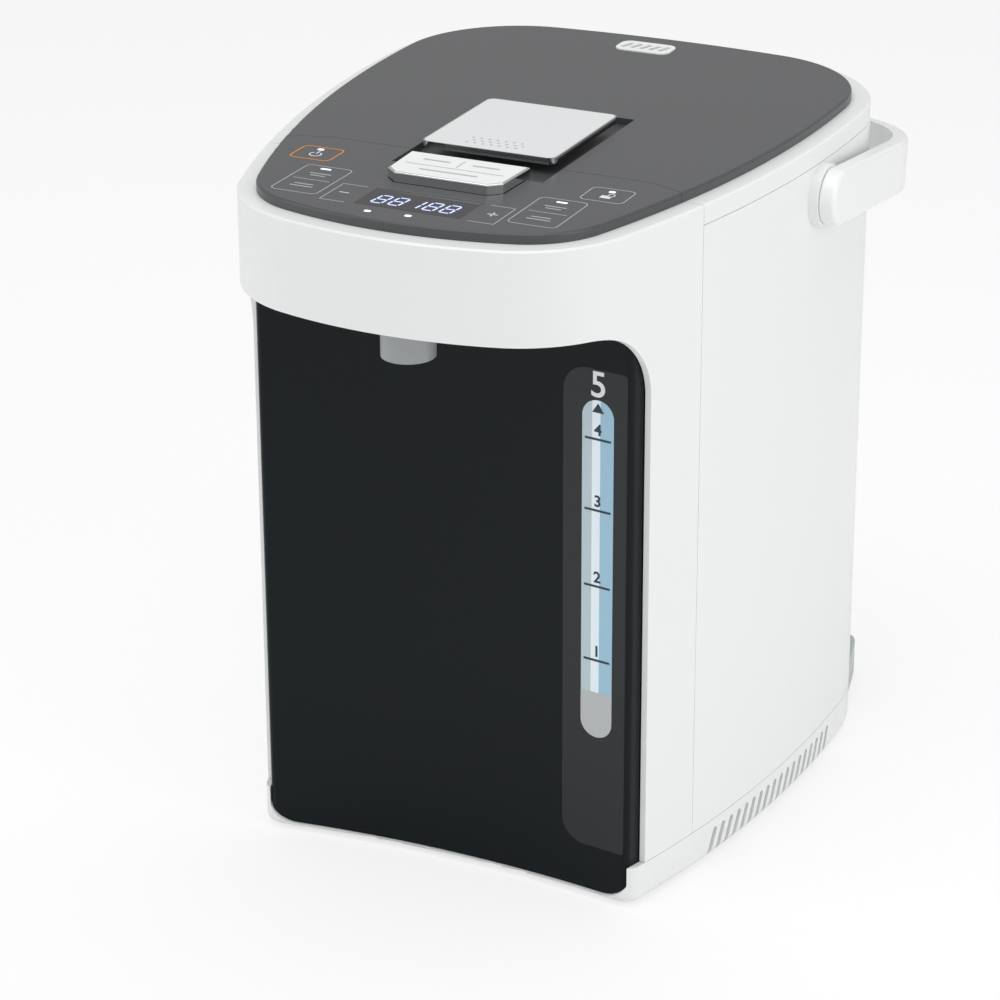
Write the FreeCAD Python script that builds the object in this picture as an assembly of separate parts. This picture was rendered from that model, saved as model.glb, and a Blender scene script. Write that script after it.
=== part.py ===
import FreeCAD, Part
import math
import os

from FreeCAD import Vector

os.makedirs("parts", exist_ok=True)

# Frame: X to the right, Y to the rear, Z up, millimetres.
# The origin is on the floor, on the upright axis of the inner pot.

# Body outline seen from above
half_width = 124.0
widest_y = 25.0
side_radius = 612.0
front_y = -213.5
front_radius = 200.0
front_corner = 60.0
rear_y = 114.5
rear_radius = 600.0
rear_corner = 69.0
shell_wall = 2.6
seam_gap = 0.3
clearance = 0.3
running_fit = 0.05

# Heights from the floor
foot_height = 2.0
base_seam_z = 21.0
skirt_seam_z = 321.0
flange_top_z = 330.3
cover_thickness = 4.5
head_bottom_z = 287.0
head_fillet = 35.0
ceiling_step = 0.4
rim_chamfer = 0.9

# Lines across the top
seam_y = -115.0
split_y = -108.5
split_end_y = -116.5
split_flat_half = 72.0
split_end_half = 97.5
cover_inset = 9.2
cover_corner = 42.0

# Lower front: the dark panel between the two white wings
wing_front_y = -149.6
bezel_width = 2.8
panel_front_y = -150.8
panel_radius = 600.0
panel_corner = 3.5
panel_thickness = 2.5
panel_bottom_z = 4.6
panel_corner_rise = 16.0

# Base ring and its vents
base_corner = 9.0
base_round = 4.2
base_wall = 5.0
slot_count = 18
slot_pitch = 7.0
slot_first_y = -101.7
slot_width = 3.2
slot_length = 17.0
slot_lean = 24.0
foot_radius = 8.0
foot_spread_x = 72.0
foot_front_y = -118.0
foot_rear_y = 78.0
plate_thickness = 2.4
grille_count = 5
grille_pitch = 10.0
grille_rear_y = 66.0
grille_slot = 4.0
grille_width = 26.0
grille_gap = 4.0
leg_radius = 6.0
leg_ring_radius = 82.0

# Inner pot
pot_radius = 94.0
pot_wall = 1.0
pot_floor_z = 84.0
pot_flange_z = 306.0
pot_flange_radius = 102.5
well_radius = 100.0
ring_thickness = 3.0

# Level gauge
gauge_x = 74.0
window_half = 8.1
window_bottom_z = 82.0
window_top_z = 246.6
lens_left_x = 58.5
lens_right_x = 91.0
lens_bottom_z = 27.0
lens_top_z = 263.0
lens_corner = 12.0
lens_thickness = 1.2
tube_radius = 5.0
tube_bore = 3.6

# Spout and water path
spout_y = -187.6
spout_radius = 12.3
spout_bore = 5.0
spout_bottom_z = 269.0
hose_radius = 5.0
hose_bore = 3.5
hose_bend = 14.0
level_radius = 4.0
level_bore = 2.4
level_x = 60.0
level_y = -62.0
pump_x = 34.0
pump_y = -42.0
pump_radius = 24.0
pump_top_z = 72.0
pump_bottom_z = 46.0
pump_wall = 2.5
motor_radius = 18.0
motor_bottom_z = 14.0
impeller_radius = 17.0
impeller_height = 8.0
shaft_radius = 1.6
heater_radius = 62.0
heater_thickness = 8.0

# Lid and hinge
hinge_y = 118.0
hinge_z = 325.0
barrel_radius = 3.0
hinge_pin_radius = 1.5
ear_inner_x = 18.0
ear_width = 10.0
knuckle_width = 12.0
inner_lid_radius = 97.3
inner_lid_z = 309.5
inner_lid_thickness = 2.5
gasket_width = 6.0

# Release plate and latch
release_half_width = 33.0
release_front_y = -108.0
release_rear_y = -35.5
release_thickness = 3.0
release_lift = 1.2
release_corner = 4.0
release_pivot_y = -42.5
release_pivot_z = 317.0
release_pin_radius = 1.5
release_barrel_radius = 3.0
barrel_half = 12.0
bearing_width = 3.5
arm_half = 4.0
channel_half = 37.0
channel_rear_y = -26.5
channel_depth = 3.2
bolt_half = 11.0
bolt_thickness = 3.4
bolt_rear_y = -32.5

# Dispense key and display
key_half_rear = 29.0
key_half_front = 22.5
key_rear_y = -124.6
key_front_y = -154.8
key_cut = 5.0
key_rise = 4.8
key_travel = 2.5
spring_radius = 6.5
spring_wire = 0.4
spring_turns = 3.5
display_half = 25.3
display_rear_y = -165.2
display_front_y = -187.8
board_thickness = 1.6
board_left_x = -62.0
board_right_x = -6.0
board_front_y = -30.0
board_rear_y = 12.0
board_standoff = 12.0

# Steam vent
vent_x = -5.0
vent_y = 85.0
vent_half = 14.3
vent_corner = 5.0
steam_hole = 5.0
vent_depth = 16.0
vent_slots = 5
vent_slot_width = 2.6
vent_slot_pitch = 4.9

# Carrying handle
pivot_y = -9.0
pivot_z = 305.0
handle_tilt = -7.0
arm_half_height = 13.0
arm_thickness = 7.6
arm_gap = 3.0
handle_reach = 132.5
handle_corner = 54.0
boss_radius = 15.0
pivot_pin_radius = 5.0
pivot_head_radius = pivot_pin_radius + 4

# Power inlet at the rear
bumper_depth = 6.0
bumper_half_front = 122.0
bumper_half_rear = 104.5
bumper_corner = 12.0
bumper_front_y = 45.0
bumper_bottom_z = 3.0
bumper_top_z = 20.5
inlet_half_width = 17.0
inlet_height = 14.0
inlet_depth = 18.0
inlet_z = 11.5
pin_radius = 2.0
pin_spread = 6.0

# Screws
screw_radius = 1.8
screw_head_radius = 3.6
screw_head_height = 1.4
screw_length = 10.0

cover_top_z = flange_top_z + cover_thickness
half_turn = math.pi


def save(name, shape):
    shape.exportStep(os.path.join("parts", name + ".step"))
    print(name, len(shape.Solids), round(shape.Volume, 1), shape.isValid())


def box(x0, x1, y0, y1, z0, z1):
    return Part.makeBox(x1 - x0, y1 - y0, z1 - z0, Vector(x0, y0, z0))


def rod(radius, start, end):
    axis = end - start
    return Part.makeCylinder(radius, axis.Length, start, axis)


def upright(radius, x, y, z0, z1):
    return Part.makeCylinder(radius, z1 - z0, Vector(x, y, z0))


def ring(outer, inner, x, y, z0, z1):
    return upright(outer, x, y, z0, z1).cut(upright(inner, x, y, z0, z1))


def cross_circles(a, ra, b, rb, side):
    """Point where two circles in plan meet, on the left (1) or right (-1) of a to b."""
    gap = (b - a).Length
    along = (gap * gap + ra * ra - rb * rb) / (2 * gap)
    rise = math.sqrt(ra * ra - along * along)
    unit = (b - a).multiply(1 / gap)
    return a + unit * along + Vector(-unit.y, unit.x, 0) * (rise * side)


def toward(center, target, radius):
    """Point at radius from center, in the direction of target."""
    return center + (target - center).normalize() * radius


def mirror_x(p):
    return Vector(-p.x, p.y, p.z)


def lift(p, z):
    return Vector(p.x, p.y, z)


def arc(start, middle, end, z):
    return Part.Arc(lift(start, z), lift(middle, z), lift(end, z)).toShape()


def corner_arc(center, radius, start, end, z):
    middle = toward(center, (start + end) * 0.5, radius)
    return arc(start, middle, end, z)


side_center = Vector(half_width - side_radius, widest_y, 0)
rear_center = Vector(0, rear_y - rear_radius, 0)
front_center = Vector(0, front_y + front_radius, 0)
rear_corner_center = cross_circles(
    rear_center, rear_radius - rear_corner, side_center, side_radius - rear_corner, -1)


def rear_points(inset):
    """Tangent points of the right rear corner: on the side and on the rear."""
    side = toward(side_center, rear_corner_center, side_radius - inset)
    rear = toward(rear_center, rear_corner_center, rear_radius - inset)
    return side, rear


def outline(inset, z, corner):
    """Closed plan outline of the whole body, moved inward by inset."""
    front_corner_center = cross_circles(
        front_center, front_radius - corner, side_center, side_radius - corner, 1)
    side_front = toward(side_center, front_corner_center, side_radius - inset)
    front_side = toward(front_center, front_corner_center, front_radius - inset)
    side_rear, rear_side = rear_points(inset)
    widest = Vector(half_width - inset, widest_y, 0)
    front_mid = Vector(0, front_y + inset, 0)
    rear_mid = Vector(0, rear_y - inset, 0)
    edges = [
        arc(mirror_x(front_side), front_mid, front_side, z),
        corner_arc(front_corner_center, corner - inset, front_side, side_front, z),
        arc(side_front, widest, side_rear, z),
        corner_arc(rear_corner_center, rear_corner - inset, side_rear, rear_side, z),
        arc(rear_side, rear_mid, mirror_x(rear_side), z),
        corner_arc(mirror_x(rear_corner_center), rear_corner - inset,
                   mirror_x(rear_side), mirror_x(side_rear), z),
        arc(mirror_x(side_rear), mirror_x(widest), mirror_x(side_front), z),
        corner_arc(mirror_x(front_corner_center), corner - inset,
                   mirror_x(side_front), mirror_x(front_side), z),
    ]
    return Part.Wire(edges)


def body_block(inset, z0, z1, corner=front_corner):
    return Part.Face(outline(inset, z0, corner)).extrude(Vector(0, 0, z1 - z0))


def lower_outline(side_inset, front_mid_y, corner, z):
    """Plan outline below the head: hollow front arc, small corners, full sides and rear."""
    hollow = Vector(0, front_mid_y - panel_radius, 0)
    side = side_radius - side_inset
    corner_center = cross_circles(side_center, side - corner, hollow, panel_radius + corner, 1)
    side_front = toward(side_center, corner_center, side)
    front_side = toward(hollow, corner_center, panel_radius)
    side_rear, rear_side = rear_points(side_inset)
    widest = Vector(half_width - side_inset, widest_y, 0)
    edges = [
        arc(mirror_x(front_side), Vector(0, front_mid_y, 0), front_side, z),
        corner_arc(corner_center, corner, front_side, side_front, z),
        arc(side_front, widest, side_rear, z),
        corner_arc(rear_corner_center, rear_corner - side_inset, side_rear, rear_side, z),
        arc(rear_side, Vector(0, rear_y - side_inset, 0), mirror_x(rear_side), z),
        corner_arc(mirror_x(rear_corner_center), rear_corner - side_inset,
                   mirror_x(rear_side), mirror_x(side_rear), z),
        arc(mirror_x(side_rear), mirror_x(widest), mirror_x(side_front), z),
        corner_arc(mirror_x(corner_center), corner, mirror_x(side_front),
                   mirror_x(front_side), z),
    ]
    return Part.Wire(edges)


def lower_block(side_inset, front_mid_y, corner, z0, z1):
    face = Part.Face(lower_outline(side_inset, front_mid_y, corner, z0))
    return face.extrude(Vector(0, 0, z1 - z0))


def front_of(y):
    return box(-400, 400, -600, y, -50, 600)


def rear_of(y):
    return box(-400, 400, y, 600, -50, 600)


def split_tool(gap):
    """Everything ahead of the line that parts the fascia from the lid, moved by gap."""
    drop = split_y - split_end_y
    reach = split_end_half - split_flat_half
    radius = (reach * reach + drop * drop) / (2 * drop)
    half = math.asin(reach / radius) / 2
    y = split_y + gap
    flat = Vector(split_flat_half, y, 0)
    middle = Vector(split_flat_half + radius * math.sin(half), y - radius * (1 - math.cos(half)), 0)
    end = Vector(split_end_half, y - drop, 0)
    out = Vector(half_width + 40, end.y - (half_width + 40 - end.x) * 0.1, 0)
    front = Vector(half_width + 40, front_y - 60, 0)
    edges = [
        Part.makeLine(mirror_x(flat), flat),
        arc(flat, middle, end, 0),
        Part.makeLine(end, out),
        Part.makeLine(out, front),
        Part.makeLine(front, mirror_x(front)),
        Part.makeLine(mirror_x(front), mirror_x(out)),
        Part.makeLine(mirror_x(out), mirror_x(end)),
        arc(mirror_x(end), mirror_x(middle), mirror_x(flat), 0),
    ]
    return Part.Face(Part.Wire(edges)).extrude(Vector(0, 0, 500))


def head_cut():
    """Space ahead of the wings and under the head, with the round inner corner."""
    corner = Vector(0, wing_front_y - head_fillet, head_bottom_z - head_fillet)
    turn = math.radians(45)
    low = Vector(0, wing_front_y, -20)
    side = Vector(0, wing_front_y, corner.z)
    middle = corner + Vector(0, math.cos(turn), math.sin(turn)) * head_fillet
    top = Vector(0, corner.y, head_bottom_z)
    far_top = Vector(0, front_y - 60, head_bottom_z)
    far_low = Vector(0, front_y - 60, -20)
    edges = [
        Part.makeLine(low, side),
        Part.Arc(side, middle, top).toShape(),
        Part.makeLine(top, far_top),
        Part.makeLine(far_top, far_low),
        Part.makeLine(far_low, low),
    ]
    face = Part.Face(Part.Wire(edges))
    face.translate(Vector(-300, 0, 0))
    return face.extrude(Vector(600, 0, 0))


def edges_at(shape, test):
    return [e for e in shape.Edges if test(e.BoundBox)]


def flat_at(z):
    return lambda b: abs(b.ZMin - z) < 0.01 and abs(b.ZMax - z) < 0.01


def rounded(shape, radius, test):
    return shape.makeFillet(radius, edges_at(shape, test))


def tube_path(points, bend):
    """Wire along points, each inner corner replaced by a tangent arc."""
    edges = []
    start = points[0]
    for i in range(1, len(points) - 1):
        back = (points[i - 1] - points[i]).normalize()
        ahead = (points[i + 1] - points[i]).normalize()
        half = back.getAngle(ahead) / 2
        reach = bend / math.tan(half)
        enter = points[i] + back * reach
        leave = points[i] + ahead * reach
        inner = (back + ahead).normalize()
        center = points[i] + inner * (bend / math.sin(half))
        edges.append(Part.makeLine(start, enter))
        edges.append(Part.Arc(enter, center - inner * bend, leave).toShape())
        start = leave
    edges.append(Part.makeLine(start, points[-1]))
    return Part.Wire(edges)


def swept(path, points, radius):
    axis = points[1] - points[0]
    circle = Part.Wire(Part.makeCircle(radius, points[0], axis))
    return path.makePipeShell([circle], True, False)


def hose(points, radius, bore, bend):
    path = tube_path(points, bend)
    return swept(path, points, radius).cut(swept(path, points, bore))


# Pieces of the white housing

def panel_tool(extra, ahead):
    """Block behind the dark panel's face, or ahead of it, with round lower corners."""
    block = lower_block(bezel_width + seam_gap - extra, panel_front_y - ahead,
                        panel_corner + extra, panel_bottom_z - extra,
                        head_bottom_z - clearance)
    block = block.common(front_of(wing_front_y + 18))
    reach = panel_side_x() + extra
    low = panel_bottom_z - extra
    for sign in (-1, 1):
        x0 = sign * (reach - panel_corner_rise)
        keep = Part.makeCylinder(panel_corner_rise, 200,
                                 Vector(x0, front_y, low + panel_corner_rise), Vector(0, 1, 0))
        corner = box(min(x0, x0 + sign * 60), max(x0, x0 + sign * 60), front_y, front_y + 200,
                     low - 1, low + panel_corner_rise)
        block = block.cut(corner.cut(keep))
    return block


def panel_side_x():
    """Half width of the dark panel at the front face of the wings."""
    side = side_radius - bezel_width - seam_gap
    rise = wing_front_y - widest_y
    return side_center.x + math.sqrt(side * side - rise * rise)


def front_shell():
    outer = body_block(0, base_seam_z + seam_gap, flange_top_z)
    outer = outer.makeChamfer(rim_chamfer, edges_at(outer, flat_at(flange_top_z)))
    inner = body_block(shell_wall, base_seam_z - 1, flange_top_z - shell_wall)
    shell = outer.cut(rear_of(seam_y - seam_gap / 2)).cut(inner)
    ceiling = body_block(shell_wall - 0.5, head_bottom_z + ceiling_step,
                         head_bottom_z + shell_wall)
    ceiling = ceiling.common(front_of(seam_y - 1))
    ceiling = ceiling.cut(upright(hose_radius + 1, pump_x, pipe_rise_y(), 0, 400))
    shell = shell.fuse(ceiling).cut(head_cut())
    shell = shell.cut(board_window())
    shell = shell.cut(upright(spout_radius - 3, 0, spout_y, head_bottom_z - 1, head_bottom_z + 9))
    return shell


def pipe_rise_y():
    """Where the outlet pipe rises behind the dark panel."""
    return wing_front_y + 16


def board_window():
    """Opening in the head's top flange, under the fascia."""
    opening = body_block(cover_inset + 4, flange_top_z - 8, flange_top_z + 1)
    return opening.common(front_of(seam_y - 3))


def hinge_ears():
    ears = []
    for sign in (-1, 1):
        x0 = sign * ear_inner_x
        x1 = sign * (ear_inner_x + ear_width)
        a, b = min(x0, x1), max(x0, x1)
        web = box(a, b, rear_y - 1.5, hinge_y + barrel_radius, hinge_z - 16, hinge_z)
        web = web.cut(box(a - 1, b + 1, rear_y - 5, rear_y + clearance,
                          skirt_seam_z - seam_gap, hinge_z + 9))
        barrel = rod(barrel_radius, Vector(a, hinge_y, hinge_z), Vector(b, hinge_y, hinge_z))
        ears.append(web.fuse(barrel))
    return ears


def side_rear_cover():
    outer = body_block(0, base_seam_z + seam_gap, skirt_seam_z - seam_gap / 2)
    inner = body_block(shell_wall, base_seam_z - 1, skirt_seam_z + 1)
    cover = outer.cut(inner).common(rear_of(seam_y + seam_gap / 2))
    for sign in (-1, 1):
        x = body_side_x(pivot_y)
        start = Vector(sign * (x - shell_wall / 2), pivot_y, pivot_z)
        end = Vector(sign * (half_width + arm_gap - clearance), pivot_y, pivot_z)
        cover = cover.fuse(rod(boss_radius, start, end))
    for sign in (-1, 1):
        start = Vector(sign * (half_width - 30), pivot_y, pivot_z)
        end = Vector(sign * (half_width + 30), pivot_y, pivot_z)
        cover = cover.cut(rod(pivot_pin_radius, start, end))
    for ear in hinge_ears():
        cover = cover.fuse(ear)
    cover = cover.cut(rod(hinge_pin_radius, Vector(-60, hinge_y, hinge_z),
                          Vector(60, hinge_y, hinge_z)))
    return cover.removeSplitter()


def body_side_x(y):
    """Half width of the body at a given y on its side arc."""
    rise = y - widest_y
    return side_center.x + math.sqrt(side_radius * side_radius - rise * rise)


def base_ring():
    outer = lower_block(0, panel_front_y - 1.6, base_corner, foot_height, base_seam_z)
    outer = rounded(outer, base_round, flat_at(foot_height))
    inner = lower_block(base_wall, panel_front_y + 3, base_corner, foot_height - 1,
                        base_seam_z + 1)
    shape = outer.cut(inner)
    shape = shape.cut(panel_tool(seam_gap, base_corner))
    for sign in (-1, 1):
        for i in range(slot_count):
            y = slot_first_y + i * slot_pitch
            x = body_side_x(y)
            shape = shape.cut(vent_slot(sign * x, y))
    shape = shape.cut(box(-inlet_half_width - clearance, inlet_half_width + clearance,
                          rear_y - 8, rear_y + 20, inlet_z - inlet_height / 2 - clearance,
                          base_seam_z + 2))
    return shape


def vent_slot(x, y):
    """Leaning slot cutter through the base wall at x, y."""
    half = slot_length / 2 - slot_width / 2
    z = base_seam_z - 3.5 - slot_length / 2
    low = Vector(x, y, z - half)
    bar = box(x - 14, x + 14, y - slot_width / 2, y + slot_width / 2, z - half - 8, z + half)
    cap = rod(slot_width / 2, Vector(x - 14, y, z + half), Vector(x + 14, y, z + half))
    slot = bar.fuse(cap)
    slot.rotate(low, Vector(1, 0, 0), -slot_lean)
    return slot


def bottom_plate():
    plate = lower_block(base_wall + clearance, panel_front_y + 3 + clearance, base_corner,
                        foot_height, foot_height + plate_thickness)
    plate = plate.cut(front_of(panel_front_y + 3 + clearance))
    for i in range(grille_count):
        y = grille_rear_y - i * grille_pitch
        for x in (-grille_width - grille_gap, grille_gap):
            plate = plate.cut(box(x, x + grille_width, y - grille_slot, y, 0, foot_height + 9))
    for x, y in leg_spots():
        plate = plate.cut(upright(screw_radius, x, y, 0, foot_height + 9))
    return plate


def feet():
    spots = [(sx * foot_spread_x, y) for sx in (-1, 1) for y in (foot_front_y, foot_rear_y)]
    pads = [upright(foot_radius, x, y, 0, foot_height) for x, y in spots]
    return Part.makeCompound(pads)


def rear_bumper():
    """Low moulding behind the base that holds the power inlet."""
    rear = rear_y + bumper_depth
    points = [Vector(-bumper_half_front, bumper_front_y, bumper_bottom_z),
              Vector(bumper_half_front, bumper_front_y, bumper_bottom_z),
              Vector(bumper_half_rear, rear, bumper_bottom_z),
              Vector(-bumper_half_rear, rear, bumper_bottom_z)]
    face = Part.Face(Part.makePolygon(points + points[:1]))
    outer = face.extrude(Vector(0, 0, bumper_top_z - bumper_bottom_z))
    corners = [e for e in outer.Edges
               if e.BoundBox.ZLength > 5 and e.BoundBox.YMin > rear - 1]
    outer = outer.makeFillet(bumper_corner, corners)
    shape = outer.cut(body_block(-0.1, 0, 60))
    shape = shape.cut(box(-inlet_half_width - clearance, inlet_half_width + clearance,
                          rear_y - 8, rear_y + 20, inlet_z - inlet_height / 2 - clearance,
                          inlet_z + inlet_height / 2 + clearance))
    return shape


def inlet_housing():
    y0 = rear_y + bumper_depth - inlet_depth
    y1 = rear_y + bumper_depth - 1
    z0 = inlet_z - inlet_height / 2
    z1 = inlet_z + inlet_height / 2
    body = box(-inlet_half_width, inlet_half_width, y0, y1, z0, z1)
    recess = box(-inlet_half_width + 2.5, inlet_half_width - 2.5, y0 + 6, y1 + 1,
                 z0 + 2.5, z1 - 2.5)
    return body.cut(recess)


def inlet_pins():
    y0 = rear_y + bumper_depth - inlet_depth + 6
    pins = []
    for sign in (-1, 1):
        pins.append(rod(pin_radius, Vector(sign * pin_spread, y0, inlet_z),
                        Vector(sign * pin_spread, y0 + 8, inlet_z)))
    return Part.makeCompound(pins)


# Dark front panel and level gauge

def panel_skin(depth_front, depth_back):
    front = panel_tool(0, 0)
    cut_back = lower_block(bezel_width + seam_gap + depth_back, panel_front_y + depth_back,
                           panel_corner, panel_bottom_z - 5, head_bottom_z + 5)
    skin = front.cut(cut_back)
    if depth_front > 0:
        cut_front = lower_block(bezel_width + seam_gap + depth_front,
                                panel_front_y + depth_front, panel_corner,
                                panel_bottom_z - 5, head_bottom_z + 5)
        skin = skin.common(cut_front)
    return skin


def upright_plate(x0, x1, z0, z1, left_radius, right_radius):
    """Block along Y with rounded left and right corners in the front view."""
    y0, y1 = front_y, front_y + 140
    block = box(x0, x1, y0, y1, z0, z1)
    for x, sign, radius in ((x0, 1, left_radius), (x1, -1, right_radius)):
        for z, up in ((z0, 1), (z1, -1)):
            cx, cz = x + sign * radius, z + up * radius
            corner = box(min(x, cx), max(x, cx), y0, y1, min(z, cz), max(z, cz))
            keep = Part.makeCylinder(radius, y1 - y0, Vector(cx, y0, cz), Vector(0, 1, 0))
            block = block.cut(corner.cut(keep))
    return block


def gauge_window():
    return upright_plate(gauge_x - window_half, gauge_x + window_half, window_bottom_z,
                         window_top_z, window_half - 0.01, window_half - 0.01)


def lens_plate(gap):
    return upright_plate(lens_left_x - gap, lens_right_x + gap, lens_bottom_z - gap,
                         lens_top_z + gap, lens_corner, 2)


def front_panel():
    panel = panel_skin(0, panel_thickness)
    seat = panel_skin(0, lens_thickness).common(lens_plate(0.1))
    return panel.cut(seat).cut(gauge_window())


def gauge_lens():
    return panel_skin(0, lens_thickness).common(lens_plate(0))


def panel_back_y(x):
    """Rear face of the dark panel at x."""
    hollow = panel_front_y - panel_radius
    return hollow + math.sqrt(panel_radius * panel_radius - x * x) + panel_thickness


def gauge_scale():
    """White plate behind the sight tube."""
    y0 = panel_back_y(gauge_x) + 2 * tube_radius + 1.5
    return box(gauge_x - window_half - 4, gauge_x + window_half + 4, y0, y0 + 1.5,
               window_bottom_z - 12, window_top_z + 12)


def sight_tube():
    y = panel_back_y(gauge_x) + tube_radius + 1.2
    return ring(tube_radius, tube_bore, gauge_x, y, window_bottom_z - 6, window_top_z + 6)


def gauge_brackets():
    """Two end blocks that hold the sight tube and its plate against the panel."""
    y = panel_back_y(gauge_x) + tube_radius + 1.2
    y0 = panel_back_y(gauge_x + window_half) + 0.1
    y1 = panel_back_y(gauge_x) + 2 * tube_radius + 3.0
    blocks = []
    for z0, z1 in ((window_bottom_z - 26, window_bottom_z - 12),
                   (window_top_z + 12, window_top_z + 22)):
        block = box(gauge_x - 10, gauge_x + 10, y0, y1, z0, z1)
        back = lower_block(bezel_width + seam_gap + panel_thickness + 0.02,
                           panel_front_y + panel_thickness + 0.02, panel_corner, z0 - 1, z1 + 1)
        blocks.append(block.common(back))
    socket_low = upright(tube_radius - 0.6, gauge_x, y, window_bottom_z - 12, window_bottom_z - 6)
    socket_high = upright(tube_radius - 0.6, gauge_x, y, window_top_z + 6, window_top_z + 12)
    low = blocks[0].fuse(socket_low).cut(
        upright(1.8, gauge_x, y, window_bottom_z - 22, window_bottom_z))
    high = blocks[1].fuse(socket_high)
    return Part.makeCompound([low, high])


def level_hose():
    y = panel_back_y(gauge_x) + tube_radius + 1.2
    z_low = window_bottom_z - 40
    points = [Vector(gauge_x, y, window_bottom_z - 26),
              Vector(gauge_x, y, z_low),
              Vector(level_x, level_y, z_low),
              Vector(level_x, level_y, pot_floor_z - pot_wall)]
    return hose(points, level_radius, level_bore, 10)


# Inner pot, heater, pump and water path

def inner_pot():
    outer = upright(pot_radius + pot_wall, 0, 0, pot_floor_z - pot_wall, pot_flange_z)
    outer = outer.fuse(upright(pot_flange_radius, 0, 0, pot_flange_z - pot_wall, pot_flange_z))
    pot = outer.cut(upright(pot_radius, 0, 0, pot_floor_z, pot_flange_z + 1))
    return pot.removeSplitter()


def top_ring():
    """Fixed ring round the pot's mouth, under the lid."""
    z1 = skirt_seam_z - seam_gap / 2
    plate = body_block(shell_wall + 0.05, z1 - ring_thickness, z1)
    plate = plate.common(rear_of(seam_y + 1.5))
    tube = upright(pot_flange_radius + ring_thickness - 0.5, 0, 0, pot_flange_z, z1 - 1)
    shape = plate.fuse(tube).cut(upright(well_radius, 0, 0, pot_flange_z - 1, z1 + 1))
    catch = box(-18, 18, seam_y + 1.5, split_y - seam_gap / 2, z1 - 1, flange_top_z - 2.9)
    return shape.fuse(catch).removeSplitter()


def heater():
    disc = upright(heater_radius, 0, 0, pot_floor_z - pot_wall - heater_thickness,
                   pot_floor_z - pot_wall)
    hole = upright(9, pump_x, pump_y, 0, 200)
    return disc.cut(hole)


def pump_housing():
    body = upright(pump_radius, pump_x, pump_y, pump_bottom_z, pump_top_z)
    cavity = upright(pump_radius - pump_wall, pump_x, pump_y, pump_bottom_z + pump_wall,
                     pump_top_z - pump_wall)
    inlet = upright(7.5, pump_x, pump_y, pump_top_z - 1, pot_floor_z - pot_wall)
    bore = upright(5, pump_x, pump_y, pump_top_z - pump_wall - 1, pot_floor_z + 5)
    outlet = rod(hose_radius + 2, Vector(pump_x, pump_y, pump_outlet_z()),
                 Vector(pump_x, pump_y - pump_radius - 9, pump_outlet_z()))
    outlet_bore = rod(hose_bore, Vector(pump_x, pump_y, pump_outlet_z()),
                      Vector(pump_x, pump_y - pump_radius - 12, pump_outlet_z()))
    shape = body.fuse(inlet).fuse(outlet).cut(cavity).cut(bore).cut(outlet_bore)
    shape = shape.cut(upright(shaft_radius + running_fit, pump_x, pump_y,
                              pump_bottom_z - 1, pump_top_z - pump_wall))
    return shape.removeSplitter()


def pump_outlet_z():
    return (pump_bottom_z + pump_top_z) / 2 + 1


def impeller():
    z0 = pump_outlet_z() - impeller_height / 2
    hub = upright(5, pump_x, pump_y, z0, z0 + impeller_height)
    disc = upright(impeller_radius, pump_x, pump_y, z0, z0 + 1.5)
    shape = hub.fuse(disc)
    for i in range(6):
        blade = box(pump_x, pump_x + impeller_radius - 0.5, pump_y - 0.7, pump_y + 0.7,
                    z0, z0 + impeller_height)
        blade.rotate(Vector(pump_x, pump_y, 0), Vector(0, 0, 1), i * 60)
        shape = shape.fuse(blade)
    shaft = upright(shaft_radius, pump_x, pump_y, pump_bottom_z - 10, z0 + impeller_height)
    return shape.fuse(shaft).removeSplitter()


def pump_motor():
    body = upright(motor_radius, pump_x, pump_y, motor_bottom_z, pump_bottom_z)
    return body.cut(upright(shaft_radius + running_fit, pump_x, pump_y, pump_bottom_z - 11,
                            pump_bottom_z + 1))


def outlet_pipe():
    z_top = head_bottom_z + 22
    y_up = pipe_rise_y()
    points = [Vector(pump_x, pump_y - pump_radius - 9, pump_outlet_z()),
              Vector(pump_x, y_up, pump_outlet_z()),
              Vector(pump_x, y_up, z_top),
              Vector(0, spout_y + 0.01, z_top),
              Vector(0, spout_y, head_bottom_z + 7)]
    return hose(points, hose_radius, hose_bore, hose_bend)


def spout():
    shape = upright(spout_radius, 0, spout_y, spout_bottom_z, head_bottom_z + ceiling_step)
    neck = upright(spout_radius - 3.2, 0, spout_y, head_bottom_z - 0.5, head_bottom_z + 7)
    shape = shape.fuse(neck)
    shape = shape.cut(upright(spout_bore, 0, spout_y, spout_bottom_z - 1, head_bottom_z + 9))
    return shape.removeSplitter()


# Control fascia, key and display

def channel_tool():
    """Shallow finger channel from behind the release plate to the key."""
    z0 = cover_top_z - channel_depth
    return box(-channel_half, channel_half, key_rear_y - 4, channel_rear_y, z0, cover_top_z + 5)


def dark_cover():
    block = body_block(cover_inset, flange_top_z, cover_top_z, cover_inset + cover_corner)
    return rounded(block, 1.2, flat_at(cover_top_z))


def key_outline(gap):
    points = [Vector(-key_half_rear - gap, key_rear_y + gap, 0),
              Vector(key_half_rear + gap, key_rear_y + gap, 0),
              Vector(key_half_rear - 1 + gap, key_front_y + key_cut, 0),
              Vector(key_half_front + gap / 2, key_front_y - gap, 0),
              Vector(-key_half_front - gap / 2, key_front_y - gap, 0),
              Vector(-key_half_rear + 1 - gap, key_front_y + key_cut, 0)]
    return Part.Face(Part.makePolygon(points + points[:1]))


def key_block(gap, z0, z1):
    face = key_outline(gap)
    face.translate(Vector(0, 0, z0))
    return face.extrude(Vector(0, 0, z1 - z0))


def control_fascia():
    shape = dark_cover().common(split_tool(-seam_gap / 2))
    shape = shape.cut(channel_tool()).cut(key_block(0.4, 300, 400))
    shape = shape.cut(display_block(0.1))
    return shape


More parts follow.
